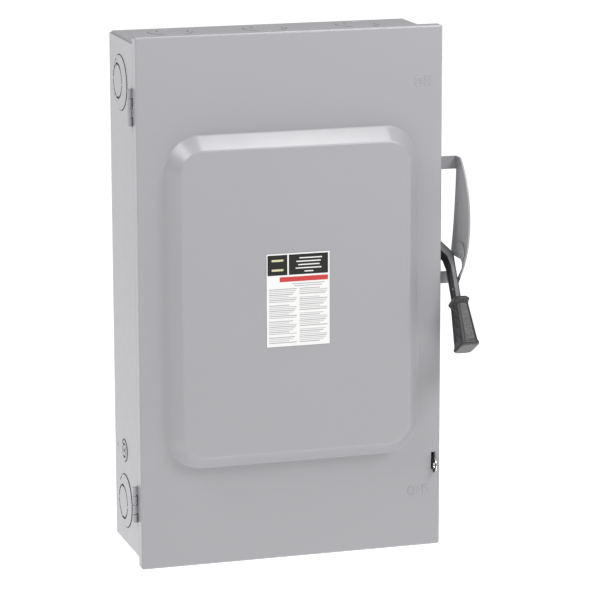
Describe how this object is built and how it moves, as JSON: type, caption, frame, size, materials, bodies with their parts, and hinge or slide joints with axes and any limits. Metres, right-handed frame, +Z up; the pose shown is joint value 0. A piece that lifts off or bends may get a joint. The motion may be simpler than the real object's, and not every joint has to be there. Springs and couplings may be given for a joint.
{
  "type": "fusible disconnect switch box",
  "caption": "Grey steel wall-mounted disconnect switch box with an embossed hinged door, padlockable latch, guarded side lever, and fused switch inside.",
  "frame": {"origin": "middle of the flat back face, which lies against the wall", "axes": "+X to the right seen from the front, +Y back into the wall, +Z up"},
  "size_m": [0.475, 0.2209, 0.7405],
  "materials": {
    "enclosure_paint": "light grey baked enamel, satin, slightly orange-peeled",
    "guard_paint": "mid grey paint, satin",
    "lever_paint": "dark grey paint, satin",
    "grip_plastic": "moulded dark plastic, matte",
    "label": null,
    "zinc_steel": "zinc-plated steel",
    "insulator": "moulded phenolic insulator",
    "copper": "bare copper contact alloy",
    "aluminium": "plated aluminium",
    "fuse_tube": "fibre tube",
    "clear_plastic": "clear plastic"
  },
  "bodies": {
    "enclosure": {"enclosure_wrapper": "enclosure_paint", "top_panel": "enclosure_paint", "bottom_panel": "enclosure_paint", "upper_hinge_body_leaf": "enclosure_paint", "upper_hinge_pin": "zinc_steel", "lower_hinge_body_leaf": "enclosure_paint", "lower_hinge_pin": "zinc_steel", "latch_stud": "zinc_steel", "latch_spring_post": "zinc_steel", "latch_spring": "zinc_steel", "handle_guard": "guard_paint", "hasp_plate": "guard_paint", "guard_screw_1": "zinc_steel", "guard_screw_2": "zinc_steel", "guard_screw_3": "zinc_steel", "shaft_bushing": "zinc_steel", "handle_spring": "zinc_steel", "mechanism_bracket": "zinc_steel", "bearing_bracket": "zinc_steel", "switch_base": "insulator", "load_base": "insulator", "line_jaw_1": "copper", "line_lug_1": "aluminium", "fuse_feed_1": "copper", "fuse_1": "fuse_tube", "load_clip_1": "copper", "load_lug_1": "aluminium", "line_jaw_2": "copper", "line_lug_2": "aluminium", "fuse_feed_2": "copper", "fuse_2": "fuse_tube", "load_clip_2": "copper", "load_lug_2": "aluminium", "line_jaw_3": "copper", "line_lug_3": "aluminium", "fuse_feed_3": "copper", "fuse_3": "fuse_tube", "load_clip_3": "copper", "load_lug_3": "aluminium", "line_shield": "clear_plastic", "neutral_bar": "aluminium", "ground_bar": "aluminium"},
    "door": {"door": "enclosure_paint", "door_label": "label", "upper_hinge_door_leaf": "enclosure_paint", "lower_hinge_door_leaf": "enclosure_paint"},
    "latch": {"latch_hook": "zinc_steel"},
    "handle": {"handle_lever": "lever_paint", "handle_grip": "grip_plastic", "grip_screw": "zinc_steel", "handle_shaft": "zinc_steel", "shaft_nut": "zinc_steel", "drive_crank": "zinc_steel"},
    "drive_link": {"drive_link": "zinc_steel"},
    "crossbar": {"crossbar": "insulator", "crossbar_crank": "zinc_steel", "blade_1": "copper", "blade_2": "copper", "blade_3": "copper"}
  },
  "joints": [
    {"name": "door_hinge", "type": "hinge", "parent": "enclosure", "child": "door", "pos_m": [-0.2197, -0.13, 0], "axis": [0, 0, -1], "range_deg": [0, 170]},
    {"name": "latch_lift", "type": "slide", "parent": "enclosure", "child": "latch", "axis": [0, 0, 1], "range_m": [0, 0.0065], "stiffness_N_per_m": 120, "springref_m": -0.006, "deforming": ["latch_spring"]},
    {"name": "handle_swing", "type": "hinge", "parent": "enclosure", "child": "handle", "pos_m": [0.2, -0.103, 0.0955], "axis": [-1, 0, 0], "range_deg": [0, 120]},
    {"name": "link_swivel", "type": "hinge", "parent": "handle", "child": "drive_link", "pos_m": [0.189, -0.111, 0.08164], "axis": [-1, 0, 0], "range_deg": [-120, 0]},
    {"name": "crossbar_turn", "type": "hinge", "parent": "enclosure", "child": "crossbar", "pos_m": [0, -0.07, 0.1915], "axis": [-1, 0, 0], "range_deg": [0, 60]}
  ],
  "couplings": [
    {"joint": "link_swivel", "follows": "handle_swing", "ratio": -1},
    {"joint": "crossbar_turn", "follows": "handle_swing", "ratio": 0.5}
  ]
}
